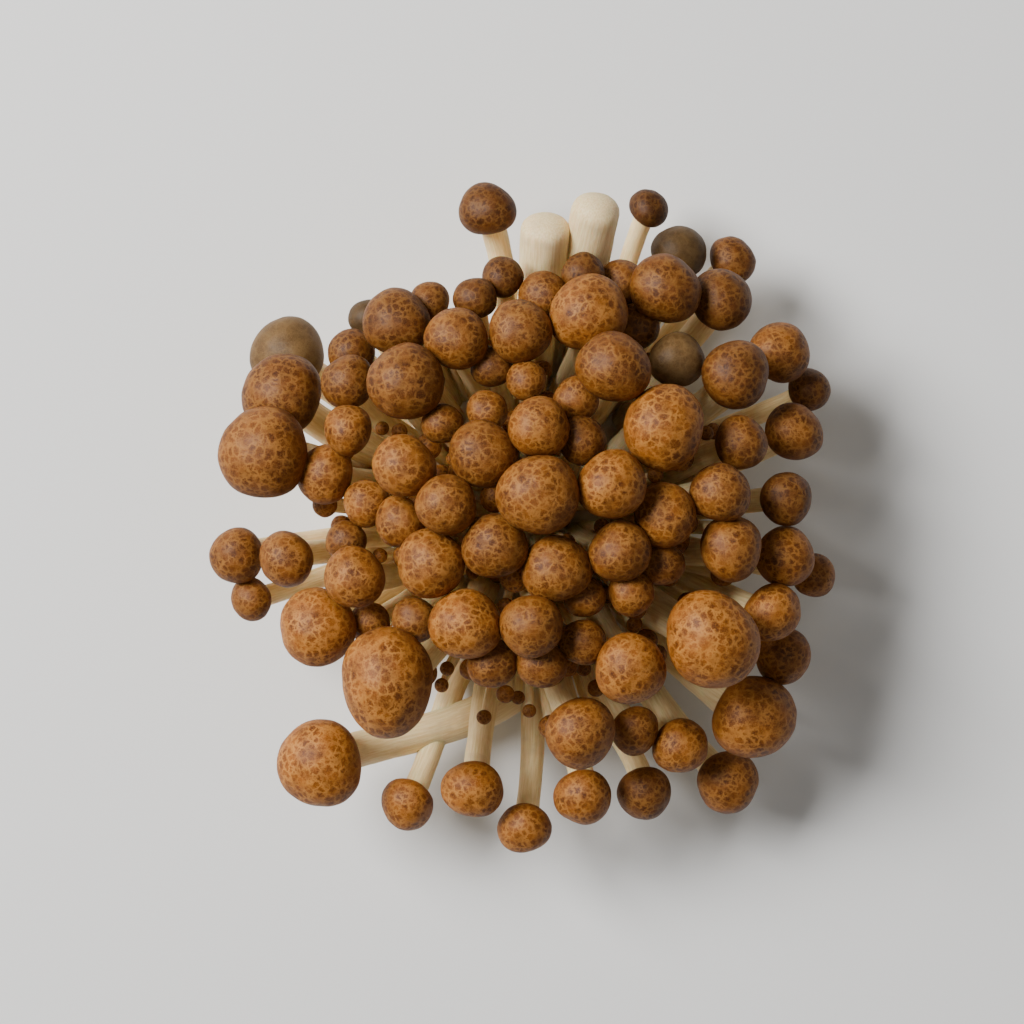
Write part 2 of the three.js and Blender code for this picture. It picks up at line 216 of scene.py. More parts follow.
def grow_cap(blank, cap):
    """One cap, a little uneven. Its points remember where they are on the cap, for the skin's pattern."""
    bm = blank.copy()
    own_place = bm.verts.layers.float_vector["own_place"]
    margin = bm.verts.layers.float["margin"]
    tone_and_shade = bm.verts.layers.float.new("tone_and_shade")
    # Each point takes its cap's darkness: its own colour with painted shade mixed in.
    offset = NEXT_PATTERN * cap["number"]
    for vert in bm.verts:
        angle = math.atan2(vert.co.y, vert.co.x)
        scale = outline(cap, angle)
        lumps = unevenness(vert.co, *LUMPS, offset) + unevenness(vert.co, *FINE_LUMPS, offset)
        round_margin = Vector((math.cos(angle), math.sin(angle), cap["number"] * NEXT_WAVES))
        wavy = unevenness(round_margin, *MARGIN_WAVES)
        shape = Vector((vert.co.x * scale, vert.co.y * scale, vert.co.z))
        shape *= 1 + lumps
        shape.z += wavy * min(vert[margin], 1)
        vert[own_place] = shape * math.sqrt(FULL_CELL_RADIUS * cap["radius"]) + offset
        vert[tone_and_shade] = cap["tone_and_shade"]
        vert.co = cap["place"] + cap["attitude"] @ (shape * cap["radius"])
    return bm


def add_node(tree, kind, inputs=None, **settings):
    """A node with its settings, and its inputs set to values or linked to other nodes' outputs."""
    node = tree.nodes.new(kind)
    for name, value in settings.items():
        setattr(node, name, value)
    for socket, value in (inputs or {}).items():
        if isinstance(value, bpy.types.NodeSocket):
            tree.links.new(value, node.inputs[socket])
        else:
            node.inputs[socket].default_value = value
    return node


def maths(tree, operation, *values):
    return add_node(tree, "ShaderNodeMath", dict(enumerate(values)), operation=operation).outputs[0]


def ramp_between(tree, value, low, high, to_low=0.0, to_high=1.0):
    """A soft step: to_low below low, to_high above high."""
    inputs = {"Value": value, "From Min": low, "From Max": high, "To Min": to_low, "To Max": to_high}
    return add_node(tree, "ShaderNodeMapRange", inputs, interpolation_type="SMOOTHSTEP").outputs["Result"]


def blend_colours(tree, mask, first, second):
    """The first colour where the mask is 0, the second where it is 1."""
    return add_node(tree, "ShaderNodeMix", {"Factor": mask, 6: first, 7: second}, data_type="RGBA").outputs[2]


def noise_value(tree, place, scale, detail=2.0, roughness=0.5):
    inputs = {"Vector": place, "Scale": scale, "Detail": detail, "Roughness": roughness}
    return add_node(tree, "ShaderNodeTexNoise", inputs).outputs["Fac"]


def new_group(name, inputs, outputs):
    """An empty shader node group with its sockets, and its input and output nodes."""
    group = bpy.data.node_groups.new(name, "ShaderNodeTree")
    for socket, kind in inputs:
        group.interface.new_socket(name=socket, in_out="INPUT", socket_type=kind)
    for socket, kind in outputs:
        group.interface.new_socket(name=socket, in_out="OUTPUT", socket_type=kind)
    return group, group.nodes.new("NodeGroupInput"), group.nodes.new("NodeGroupOutput")


def new_material(name, **constants):
    """A material whose Principled BSDF has these constants, and its tree and shader."""
    material = bpy.data.materials.new(name)
    material.use_nodes = True
    shader = material.node_tree.nodes["Principled BSDF"]
    for socket, value in constants.items():
        shader.inputs[socket.replace("_", " ")].default_value = value
    return material, material.node_tree, shader


def attribute(tree, name, output="Vector"):
    return add_node(tree, "ShaderNodeAttribute", attribute_name=name).outputs[output]


def make_marbling():
    """The marbling of a cap: a soft pale net, stronger in patches, and dark hearts in some cells."""
    group, given, result = new_group(
        "marbling",
        [("Place", "NodeSocketVector"), ("Cell", "NodeSocketFloat")],
        [("Net", "NodeSocketFloat"), ("Hearts", "NodeSocketFloat")],
    )
    place = given.outputs["Place"]
    wander = add_node(
        group, "ShaderNodeTexNoise", {"Vector": place, "Scale": 0.9, "Detail": 3.0, "Roughness": 0.6},
    )
    swing = add_node(
        group, "ShaderNodeVectorMath", {0: wander.outputs["Color"], 1: (0.5, 0.5, 0.5)}, operation="SUBTRACT",
    )
    warp = add_node(
        group, "ShaderNodeVectorMath", {0: swing.outputs[0], 1: (1.7, 1.7, 1.7), 2: place},
        operation="MULTIPLY_ADD",
    )
    cells = {"Vector": warp.outputs[0], "Scale": maths(group, "DIVIDE", 1.0, given.outputs["Cell"])}
    edge = add_node(group, "ShaderNodeTexVoronoi", cells, feature="DISTANCE_TO_EDGE").outputs["Distance"]
    cell = add_node(group, "ShaderNodeTexVoronoi", cells, feature="F1")
    tint = add_node(group, "ShaderNodeSeparateColor", {"Color": cell.outputs["Color"]}).outputs["Red"]
    patchy = noise_value(group, place, 0.33, 3.0)
    fraying = noise_value(group, place, 2.4, 2.0)
    width = ramp_between(group, fraying, 0.3, 0.75, 0.1, 0.42)
    net = ramp_between(group, edge, 0.0, width, 1.0, 0.0)
    net = maths(group, "MAXIMUM", net, ramp_between(group, cell.outputs["Distance"], 0.5, 0.85, 0.0, 0.5))
    net = maths(group, "MULTIPLY", net, ramp_between(group, patchy, 0.34, 0.6, 0.3, 1.0))
    hearts = maths(
        group, "MULTIPLY", ramp_between(group, edge, 0.08, 0.4), ramp_between(group, tint, 0.3, 0.85),
    )
    hearts = maths(group, "MULTIPLY", hearts, ramp_between(group, fraying, 0.3, 0.62))
    group.links.new(net, result.inputs["Net"])
    group.links.new(hearts, result.inputs["Hearts"])
    return group


def make_cap_skin(name, colours, cell, net_strength, heart_strength):
    """The skin of a cap. colours: light and dark skin, heart, net, margin, flesh of the curled edge."""
    material, tree, shader = new_material(
        name, Subsurface_Weight=0.06, Subsurface_Scale=0.003, Specular_IOR_Level=0.22,
    )
    place = attribute(tree, "own_place")
    margin = attribute(tree, "margin", "Fac")
    tone_and_shade = attribute(tree, "tone_and_shade", "Fac")
    marbling = tree.nodes.new("ShaderNodeGroup")
    marbling.node_tree = marbling_group
    tree.links.new(place, marbling.inputs["Place"])
    marbling.inputs["Cell"].default_value = cell
    edge_noise = maths(tree, "MULTIPLY_ADD", noise_value(tree, place, 0.5, 3.0), 0.6, -0.3)
    edge = maths(tree, "ADD", margin, edge_noise)
    fading = ramp_between(tree, edge, 0.7, 1.15, 1.0, 0.2)
    net = maths(tree, "MULTIPLY", maths(tree, "MULTIPLY", marbling.outputs["Net"], net_strength), fading)
    hearts = maths(tree, "MULTIPLY", marbling.outputs["Hearts"], heart_strength)
    hearts = maths(tree, "MULTIPLY", hearts, fading)
    cloud = ramp_between(tree, noise_value(tree, place, 0.21, 3.0), 0.35, 0.65)
    grain = noise_value(tree, place, 3.4, 4.0, 0.6)
    colour = blend_colours(tree, cloud, colours["dark"], colours["light"])
    colour = blend_colours(tree, ramp_between(tree, grain, 0.45, 0.72, 0.0, 0.4), colour, colours["net"])
    colour = blend_colours(tree, ramp_between(tree, grain, 0.5, 0.28, 0.0, 0.4), colour, colours["heart"])
    colour = blend_colours(tree, hearts, colour, colours["heart"])
    colour = blend_colours(tree, net, colour, colours["net"])
    colour = blend_colours(tree, ramp_between(tree, edge, 1.12, 1.4, 0.0, 0.75), colour, colours["margin"])
    colour = blend_colours(tree, ramp_between(tree, margin, 1.6, 1.9), colour, colours["flesh"])
    # The cap's own darkness and its painted shade darken the whole skin.
    shaded = add_node(tree, "ShaderNodeHueSaturation", {"Value": tone_and_shade, "Color": colour})
    tree.links.new(shaded.outputs["Color"], shader.inputs["Base Color"])
    tree.links.new(maths(tree, "MULTIPLY_ADD", grain, 0.25, 0.4), shader.inputs["Roughness"])
    grain_and_pits = maths(tree, "SUBTRACT", grain, maths(tree, "MULTIPLY", hearts, 0.5))
    relief = maths(tree, "MULTIPLY_ADD", net, 0.6, grain_and_pits)
    bump = add_node(tree, "ShaderNodeBump", {"Strength": 0.35, "Distance": 0.00015, "Height": relief})
    tree.links.new(bump.outputs["Normal"], shader.inputs["Normal"])
    return material


marbling_group = make_marbling()
brown_skin = make_cap_skin(
    "marbled_brown_skin",
    {
        "light": (0.27, 0.079, 0.008, 1),
        "dark": (0.15, 0.039, 0.003, 1),
        "heart": (0.05, 0.011, 0.002, 1),
        "net": (0.54, 0.225, 0.045, 1),
        "margin": (0.3, 0.11, 0.02, 1),
        "flesh": (0.72, 0.54, 0.31, 1),
    },
    cell=1.9, net_strength=0.72, heart_strength=0.62,
)
pale_skin = make_cap_skin(
    "pale_skin",
    {
        "light": (0.23, 0.125, 0.042, 1),
        "dark": (0.15, 0.076, 0.023, 1),
        "heart": (0.1, 0.042, 0.01, 1),
        "net": (0.33, 0.19, 0.072, 1),
        "margin": (0.38, 0.24, 0.1, 1),
        "flesh": (0.72, 0.56, 0.35, 1),
    },
    cell=2.4, net_strength=0.35, heart_strength=0.25,
)

caps = [cap for node in sorted(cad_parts) if "caps_" in node for cap in find_caps(node)]
tones = random.Random(11)
for number, cap in enumerate(caps):
    cap["number"] = number + 1
    cap["tone_and_shade"] = tones.uniform(*TONES)
    # Painted shade: a cap low down in the crown is darkened, the more the lower it is.
    cap["tone_and_shade"] *= LOW_CAP_SHADE + (1 - LOW_CAP_SHADE) * min(cap["place"].z / UNSHADED_HEIGHT, 1)
    # Painted light and shade: caps on the near side are lightened and caps on the far side darkened.
    cap["tone_and_shade"] *= 1 - SHADE_TOWARDS_FAR_SIDE * cap["place"].y
    cap["tone_and_shade"] *= YOUNG_TONE + AGEING * cap["radius"]

cap_blank = turned_blank(cap_profile(DOME_RINGS, LIP_RINGS), CAP_SIDES, "margin")
for node, group in itertools.groupby(caps, key=lambda cap: cap["node"]):
    bm = bmesh.new()
    for cap in group:
        join(bm, grow_cap(cap_blank, cap))
    pale = node.startswith("pale")
    piece = make_object(node.replace("caps", "cap_flesh"), bm, pale_skin if pale else brown_skin)
    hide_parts(node)
cap_blank.free()


# ------------------------------------------------------------------------------ the stems
# A stem is a solid cream rod of lengthwise fibres. It leaves the foot leaning outwards, bows a
# little and comes up under its cap along the cap's axis. Two of them have lost their caps, and
# one comes out low at the side and sprawls under its neighbours.
ROOT_SHARE = 0.48  # how far out a stem leaves the foot, as a share of how far out its cap is
STEM_SHARE = 0.36  # of the cap's radius, and STEM_LEAST more
STEM_LEAST = 0.6
BOW = 3  # how far a stem bows to the side
BOW_TURNS = (0.37, 0.41)  # it turns from place to place, this much a millimetre
BOW_STARTS = (1.3, 0.6)
LEAVING_SHARE = 0.25  # where a stem's lower bend is, along the way to its cap
LEAVING_RISE = 0.15
SPRAWLING_CAP = Vector((-44, -52, 0))
SPRAWL_ROOT = Vector((4, -29, 0))
SPRAWL_BOW = Vector((8, -12, 0))
STEM_OVERLAP = 0.25  # how far it runs up into the gills
STEM_SIDES = 24
STEM_RINGS = 30
STEM_SWELLING = [(0, 1.25), (0.33, 1.06), (0.7, 0.96), (1, 1)]  # (share of the way up, thickness)
FLUTES = 0.05  # how far a stem is from round, as a share of its radius
FLUTES_ROUND = 1.6  # how fast the flutes change round the stem and along it
FLUTES_ALONG = 0.05
KNOBS = 0.035  # how much it swells and narrows
KNOBS_ALONG = 0.22
NEXT_FIBRES = Vector((13.1, 5.7, 41.0))
BARE_STEM_TIPS = [Vector((3.5, 64, 40)), Vector((14.5, 68, 42))]
BARE_STEM_RADIUS = 5.25
BARE_STEM_ARCH = 6
BARE_STEM_SWELLING = [(0, 1.25), (0.3, 1.1), (0.6, 1), (1, 1)]
BARE_STEM_END = 0.07  # the share of a bare stem that rounds off
BARE_STEM_POINT = 0.02  # the share of its radius that is left at the very end
LOWEST_STEM = 0.6  # the foot closes round the stems' ends


def stem_radius(cap):
    return STEM_SHARE * cap["radius"] + STEM_LEAST


def stem_curve(cap):
    """Points along a capped stem, from its root to just inside the gills."""
    place, axis = cap["place"], cap["axis"]
    root = ROOT_SHARE * Vector((place.x, place.y, 0))
    sway, swing = BOW_TURNS[0] * place.y + BOW_STARTS[0], BOW_TURNS[1] * place.x + BOW_STARTS[1]
    bow = BOW * Vector((math.sin(sway), math.sin(swing), 0))
    if cap is sprawling:
        root, bow = SPRAWL_ROOT, SPRAWL_BOW
    third = (place - root).length / 3
    leaving = root.lerp(place, LEAVING_SHARE) + UP * LEAVING_RISE * third + bow
    arriving = place - axis * third
    return interpolate_bezier(root, leaving, arriving, place + axis * STEM_OVERLAP, STEM_RINGS + 1)


def bare_stem(tip):
    """Points along a bare stem, closer together towards its rounded end, and its radius at each."""
    root = ROOT_SHARE * Vector((tip.x, tip.y, 0))
    bend = root.lerp(tip, 0.5) + UP * BARE_STEM_ARCH
    points, radii = [], []
    for i in range(STEM_RINGS + 1):
        share = math.sin(math.pi / 2 * i / STEM_RINGS)
        rounding = max(share - 1 + BARE_STEM_END, 0) / BARE_STEM_END
        closing = math.sqrt(max(1 - rounding * rounding, BARE_STEM_POINT ** 2))
        points.append(root.lerp(bend, share).lerp(bend.lerp(tip, share), share))
        radii.append(BARE_STEM_RADIUS * (along(BARE_STEM_SWELLING, share) * closing))
    return points, radii


def along(table, share):
    """The value at a share of the way, eased between the entries of a table of (share, value)."""
    for (start, low), (end, high) in zip(table, table[1:]):
        if share <= end:
            part = (share - start) / (end - start)
            return low + (high - low) * part * part * (3 - 2 * part)
    return table[-1][1]


def rod_blank(rings):
    """A closed rod of radius 1 and height 1, cut across into rings."""
    blank = bmesh.new()
    blank.verts.layers.float_vector.new("own_place")
    blank.verts.layers.float.new("share")
    bmesh.ops.create_cone(blank, cap_ends=True, segments=STEM_SIDES, radius1=1, radius2=1, depth=1)
    bmesh.ops.translate(blank, verts=blank.verts, vec=(0, 0, 0.5))
    upright = [edge for edge in blank.edges if abs(edge.verts[0].co.z - edge.verts[1].co.z) > 0.5]
    bmesh.ops.subdivide_edges(blank, edges=upright, cuts=rings - 1)
    return blank


def bend_rod(blank, points, radii, seed):
    """The rod bent along the points. Its straightened place stays on it, for the fibres."""
    bm = blank.copy()
    own_place = bm.verts.layers.float_vector["own_place"]
    share = bm.verts.layers.float["share"]
    rings = len(points) - 1
    side = (points[1] - points[0]).orthogonal().normalized()
    stations, length = [], 0
    for i, point in enumerate(points):
        before, after = points[max(i - 1, 0)], points[min(i + 1, rings)]
        tangent = (after - before).normalized()
        side = (side - tangent * side.dot(tangent)).normalized()
        length += (point - before).length
        stations.append((point, Matrix((side, tangent.cross(side), tangent)).transposed(), length))
    offset = NEXT_FIBRES * seed
    for vert in bm.verts:
        i = round(vert.co.z * rings)
        point, turn, length = stations[i]
        unit = Vector((vert.co.x, vert.co.y, 0))
        fluting = Vector((unit.x * FLUTES_ROUND, unit.y * FLUTES_ROUND, length * FLUTES_ALONG))
        flutes = FLUTES * noise.noise(fluting + offset)
        knobs = KNOBS * noise.noise(Vector((unit.x, unit.y, length * KNOBS_ALONG)) + offset * 2)
        vert[own_place] = unit * radii[i] + UP * length + offset
        vert[share] = i / rings
        vert.co = point + turn @ unit * radii[i] * (1 + flutes + knobs)
    return bm


def lift_into_foot(bm):
    """Keeps the stems' ends off the cut face."""
    for vert in bm.verts:
        vert.co.z = max(vert.co.z, LOWEST_STEM)


def make_flesh():
    """Cream flesh with lengthwise fibres, stained a little, and paler near the foot."""
    fibre, cream = (0.74, 0.54, 0.26, 1), (0.88, 0.7, 0.39, 1)
    tan, foot_cream = (0.62, 0.45, 0.25, 1), (0.78, 0.63, 0.41, 1)
    material, tree, shader = new_material(
        "stem_flesh", Roughness=0.6, Subsurface_Weight=0.25, Subsurface_Scale=0.003,
    )
    place = attribute(tree, "own_place")
    share = attribute(tree, "share", "Fac")
    drawn = add_node(tree, "ShaderNodeMapping", {"Vector": place, "Scale": (1.0, 1.0, 0.06)})
    fibres = noise_value(tree, drawn.outputs[0], 2.6, 5.0, 0.65)
    stain = noise_value(tree, place, 0.22, 3.0)
    colour = blend_colours(tree, ramp_between(tree, fibres, 0.35, 0.65), fibre, cream)
    colour = blend_colours(tree, ramp_between(tree, stain, 0.5, 0.75, 0.0, 0.5), colour, tan)
    colour = blend_colours(tree, ramp_between(tree, share, 0.1, 0.4, 0.8, 0.0), colour, foot_cream)
    tree.links.new(colour, shader.inputs["Base Color"])
    relief = maths(tree, "ADD", fibres, maths(tree, "MULTIPLY", noise_value(tree, place, 2.0, 3.0), 0.3))
    bump = add_node(tree, "ShaderNodeBump", {"Strength": 0.4, "Distance": 0.0003, "Height": relief})
    tree.links.new(bump.outputs["Normal"], shader.inputs["Normal"])
    return material


flesh = make_flesh()
sprawling = min(caps, key=lambda cap: (cap["place"].xy - SPRAWLING_CAP.xy).length)
rods = []
for cap in caps:
    radii = [stem_radius(cap) * along(STEM_SWELLING, i / STEM_RINGS) for i in range(STEM_RINGS + 1)]
    rods.append((stem_curve(cap), radii))
rods += [bare_stem(tip) for tip in BARE_STEM_TIPS]

stem_blank = rod_blank(STEM_RINGS)
bm = bmesh.new()
for number, (points, radii) in enumerate(rods):
    join(bm, bend_rod(stem_blank, points, radii, number + 1))
stem_blank.free()
lift_into_foot(bm)
stems = make_object("stems", bm, flesh)
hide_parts("base_stems_and_gills")


# ------------------------------------------------------------------------------ the gills
# Under each cap thin cream gills run out from the stem to the curled margin, standing side by
# side on edge. They are the cap's own flesh.
GILL_FOLDS = 44
GILL_RIM = 0.8  # radii and heights as shares of the cap's radius
GILL_INNER = 0.34  # where the folds start on the blank, before its middle fits the stem
GILL_RINGS = 6
GILL_TOP = [(0, 0.35, 0), (GILL_RIM, 0.16, 0)]  # hidden in the flesh
GILL_RIM_HEIGHT = 0.07
GILL_SLOPE = 0.09
GILL_DEPTH = 0.13
GILL_ENDS = 0.08  # a fold deepens as a sine does over half a turn, less this share at either end
GILL_HANG = 0.35  # how far they run down the stem, in millimetres
GILL_SUNK = 0.3  # and how far into it
NEXT_GILLS = Vector((7.3, 29.1, 3.9))


def make_gill_flesh():
    """Cream gills with tan flecks, and painted shade darkening the folds between them."""
    edge, fold_shade, fleck = (0.74, 0.62, 0.43, 1), (0.5, 0.37, 0.22, 1), (0.6, 0.46, 0.29, 1)
    material, tree, shader = new_material(
        "gill_flesh", Roughness=0.65, Subsurface_Weight=0.2, Subsurface_Scale=0.002,
    )
    place = attribute(tree, "own_place")
    fold = attribute(tree, "fold", "Fac")
    speckle = noise_value(tree, place, 1.1, 3.0)
    # Painted shade: the folds between the gills are darkened by how deep they are.
    colour = blend_colours(tree, fold, edge, fold_shade)
    colour = blend_colours(tree, ramp_between(tree, speckle, 0.5, 0.75, 0.0, 0.4), colour, fleck)
    tree.links.new(colour, shader.inputs["Base Color"])
    bump = add_node(tree, "ShaderNodeBump", {"Strength": 0.25, "Distance": 0.0002, "Height": speckle})
    tree.links.new(bump.outputs["Normal"], shader.inputs["Normal"])
    return material


def gill_profile():
    """(radius, height, how deep the fold is there) from the top, over the rim and in to the middle."""
    points = list(GILL_TOP)
    for i in range(GILL_RINGS + 1):
        share = i / GILL_RINGS
        radius = GILL_RIM + (GILL_INNER - GILL_RIM) * share
        depth = math.sqrt(math.sin(math.pi * (GILL_ENDS + (1 - 2 * GILL_ENDS) * share)))
        points.append((radius, GILL_RIM_HEIGHT - GILL_SLOPE * share, depth))
    points.append((0, GILL_RIM_HEIGHT - GILL_SLOPE, 0))
    return points


def grow_gills(blank, cap):
    """Folds the blank under a cap and brings its middle in against the stem."""
    bm = blank.copy()
    own_place = bm.verts.layers.float_vector["own_place"]
    fold = bm.verts.layers.float["fold"]
    offset = NEXT_GILLS * cap["number"]
    inner = (stem_radius(cap) - GILL_SUNK) / cap["radius"]
    for vert in bm.verts:
        radius, angle = vert.co.xy.length, math.atan2(vert.co.y, vert.co.x)
        folds = round(angle / math.pi * GILL_FOLDS)
        depth = vert[fold] if folds % 2 else 0
        hanging = 0
        if vert[fold] > 0:
            share = (radius - GILL_INNER) / (GILL_RIM - GILL_INNER)
            radius = inner + (GILL_RIM - inner) * share
            hanging = -GILL_HANG / cap["radius"] * (1 - share) ** 3
        scale = radius * outline(cap, angle)
        height = vert.co.z + hanging + GILL_DEPTH * depth
        shape = Vector((math.cos(angle) * scale, math.sin(angle) * scale, height)) * cap["radius"]
        vert[own_place] = shape + offset
        vert[fold] = depth
        vert.co = cap["place"] + cap["attitude"] @ shape
    return bm


gill_blank = turned_blank(gill_profile(), GILL_FOLDS * 2, "fold")
bm = bmesh.new()
for cap in caps:
    join(bm, grow_gills(gill_blank, cap))
gill_blank.free()
gills = make_object("gills", bm, make_gill_flesh())
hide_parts("base_stems_and_gills")


# ------------------------------------------------------------------------------ the buds
# Low down between the stems stand young mushrooms that never found room: thin stems with small
# dark caps a few millimetres across. They grow from the foot like the others.
BUDS = 110
BUD_TRIES = 20000
BUD_SPREAD = 54  # how far out a bud leans
CROWN_HEIGHT = 60  # buds point at a crown of this height in the middle, that falls to the sides
CROWN_FALL = 34
CROWN_RADIUS = 68
BUD_LOWEST = 12
BUD_HIGHEST = 0.78  # as a share of the crown's height above it
BUD_RADII = (1.5, 3.4)
BUD_AIR = 0.25  # at least this far from its neighbours
BUD_SIDES = 28
BUD_DOME_RINGS = 8
BUD_LIP_RINGS = 3
BUD_STEM_RINGS = 6
BUD_STEM_SHARE = 0.65  # how thick a bud's stem is half-way up, as a share of its cap's radius
BUD_STEM_TAPER = 0.2
BUD_STEM_REACH = 0.45  # how far it runs up into the cap
BUD_LEAST_TONE = 0.5  # the smallest are the darkest
BUD_AGEING = 0.09
FIRST_BUD = 200  # its number, which sets its pattern apart from the others
CAP_MIDDLE = 0.4  # how high the middle of a cap is


def stretch(start, end, thickness):
    """A row for a straight stretch of stem: its start, its span and how thick it is."""
    return [*start, *(end - start), thickness]


def nearest(stretches, point):
    """How far a point is from the surface of the nearest of some stretches."""
    point = numpy.array(point)
    starts, spans, sizes = stretches[:, 0:3], stretches[:, 3:6], stretches[:, 6]
    shares = ((point - starts) * spans).sum(axis=1) / (spans ** 2).sum(axis=1)
    feet = starts + spans * numpy.clip(shares, 0, 1)[:, None]
    return (numpy.linalg.norm(feet - point, axis=1) - sizes).min()


def middle(cap):
    return cap["place"] + cap["axis"] * CAP_MIDDLE * cap["radius"]


def bud_room(bud, stem):
    """How much air there is round a bud's cap, and between its stem and the other buds' caps."""
    to_stems = nearest(stretches, middle(bud)) - bud["radius"]
    to_caps = [(middle(cap) - middle(bud)).length - cap["radius"] - bud["radius"] for cap in caps + buds]
    own_stem = numpy.array([stem])
    to_own_stem = [nearest(own_stem, middle(other)) - other["radius"] for other in buds]
    return min(to_stems, *to_caps, *to_own_stem)


stretches = numpy.array([
    stretch(Vector(points[i]), Vector(points[i + 1]), radii[i])
    for points, radii in rods for i in range(len(points) - 1)
])
buds = []
chance = random.Random(5)
for i in range(BUD_TRIES):
    if len(buds) == BUDS:
        break
    angle = chance.uniform(0, 2 * math.pi)
    distance = BUD_SPREAD * math.sqrt(chance.random())
    radius = chance.uniform(*BUD_RADII)
    crown = CROWN_HEIGHT - CROWN_FALL * (distance / CROWN_RADIUS) ** 2
    target = Vector((distance * math.cos(angle), distance * math.sin(angle), crown))
    height = chance.uniform(BUD_LOWEST, BUD_HIGHEST * target.z)
    root = ROOT_SHARE * Vector((target.x, target.y, 0))
    place = root.lerp(target, height / target.z)
    axis = ((target - root).normalized() + UP).normalized()
    bud = {
        "root": root, "place": place, "axis": axis, "attitude": UP.rotation_difference(axis),
        "radius": radius, "waves": [1, 0, 0, 0, 0],
        "number": FIRST_BUD + len(buds), "tone_and_shade": BUD_LEAST_TONE + BUD_AGEING * radius,
    }
    stem = stretch(root, place, BUD_STEM_SHARE * radius)
    if bud_room(bud, stem) > BUD_AIR:
        buds.append(bud)
        stretches = numpy.vstack([stretches, stem])

bud_blank = turned_blank(cap_profile(BUD_DOME_RINGS, BUD_LIP_RINGS), BUD_SIDES, "margin")
bud_stem_blank = rod_blank(BUD_STEM_RINGS)
caps_bm, stems_bm = bmesh.new(), bmesh.new()
for bud in buds:
    join(caps_bm, grow_cap(bud_blank, bud))
    top = bud["place"] + bud["axis"] * BUD_STEM_REACH * bud["radius"]
    shares = [i / BUD_STEM_RINGS for i in range(BUD_STEM_RINGS + 1)]
    points = [bud["root"].lerp(top, share) for share in shares]
    radii = [bud["radius"] * (BUD_STEM_SHARE + BUD_STEM_TAPER * (0.5 - share)) for share in shares]
    join(stems_bm, bend_rod(bud_stem_blank, points, radii, bud["number"]))
lift_into_foot(stems_bm)
for name, bm, material, slot in [
    ("bud_caps", caps_bm, brown_skin, "brown_cap_skin"),
    ("bud_stems", stems_bm, flesh, "mushroom_flesh"),
]:
    piece = make_object(name, bm, material)
    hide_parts("base_stems_and_gills")
bud_blank.free()
bud_stem_blank.free()


# ------------------------------------------------------------------------------ the foot
# All the stems run together in one foot of dense white flesh. It was cut flat from the block
# that the mushrooms grew on, so its underside is a plain cut face.
FOOT_RADIUS = 35
FOOT_HEIGHT = 22
FOOT_PROFILE = [(0, -0.1), (0.92, -0.1), (1, 0.24), (0.92, 0.52), (0.6, 0.9), (0, 1)]  # shares of both
FOOT_SIDES = 72
FOOT_LOBES = 0.05  # three shallow lobes round it
FOOT_RIPPLES = 0.03  # and seven smaller ones
FOOT_GRAIN = 0.8  # the size of the facets that the foot and the stems' ends are fused with
FOOT_SMOOTHINGS = 3
FOOT_LUMPS = (0.5, 0.35)  # how high the lumps of its skin are, and how close together
FOOT_FINE_LUMPS = (0.2, 1.1)
FOOT_STEM_SHARE = 0.24  # how much of each stem it takes in
FOOT_STEM_GRIP = 1.18  # how thick it is round a stem at the root, as a share of the stem
FOOT_STEM_TAPER = 0.3
CREAM_BETWEEN = (8 * MM, 20 * MM)  # the heights over which it takes on the stems' colour


def make_foot_flesh(name, colours, stain_from):
    """White flesh with tan stains, creamier among the stems. colours: felt, stain, crumb, cream."""
    material, tree, shader = new_material(name, Roughness=0.8, Subsurface_Weight=0.2, Subsurface_Scale=0.003)
    place = add_node(tree, "ShaderNodeTexCoord").outputs["Object"]
    height = add_node(tree, "ShaderNodeSeparateXYZ", {"Vector": place}).outputs["Z"]
    felt = noise_value(tree, place, 900.0, 6.0, 0.7)
    stains = ramp_between(tree, noise_value(tree, place, 110.0, 4.0, 0.6), stain_from, stain_from + 0.25)
    crumbs = ramp_between(tree, noise_value(tree, place, 420.0, 2.0), 0.66, 0.74, 0.0, 0.7)
    colour = blend_colours(tree, stains, colours["felt"], colours["stain"])
    colour = blend_colours(tree, crumbs, colour, colours["crumb"])
    colour = blend_colours(tree, ramp_between(tree, height, *CREAM_BETWEEN), colour, colours["cream"])
    tree.links.new(colour, shader.inputs["Base Color"])
    bump = add_node(tree, "ShaderNodeBump", {"Strength": 0.5, "Distance": 0.0004, "Height": felt})
    tree.links.new(bump.outputs["Normal"], shader.inputs["Normal"])
    return material


foot_profile = [(out * FOOT_RADIUS, up * FOOT_HEIGHT, 0) for out, up in FOOT_PROFILE]
foot_bm = turned_blank(foot_profile, FOOT_SIDES, "share")
for vert in foot_bm.verts:
    angle = math.atan2(vert.co.y, vert.co.x)
    lobes = 1 + FOOT_LOBES * math.cos(3 * angle + 1) + FOOT_RIPPLES * math.cos(7 * angle)
    vert.co.x *= lobes
    vert.co.y *= lobes
short_rings = round(STEM_RINGS * FOOT_STEM_SHARE)
short_blank = rod_blank(short_rings)
for number, (points, radii) in enumerate(rods):
    lower = points[:short_rings + 1]
    grips = [radii[i] * (FOOT_STEM_GRIP - FOOT_STEM_TAPER * i / short_rings) for i in range(len(lower))]
    join(foot_bm, bend_rod(short_blank, lower, grips, number + 1))
short_blank.free()
rough = bpy.data.objects.new("rough_foot", bpy.data.meshes.new("rough_foot"))
foot_bm.to_mesh(rough.data)
bpy.context.scene.collection.objects.link(rough)
fusing = rough.modifiers.new("fusing", "REMESH")
fusing.mode = "VOXEL"
fusing.voxel_size = FOOT_GRAIN
foot_bm.clear()
foot_bm.from_mesh(rough.evaluated_get(bpy.context.evaluated_depsgraph_get()).to_mesh())
bpy.data.objects.remove(rough)
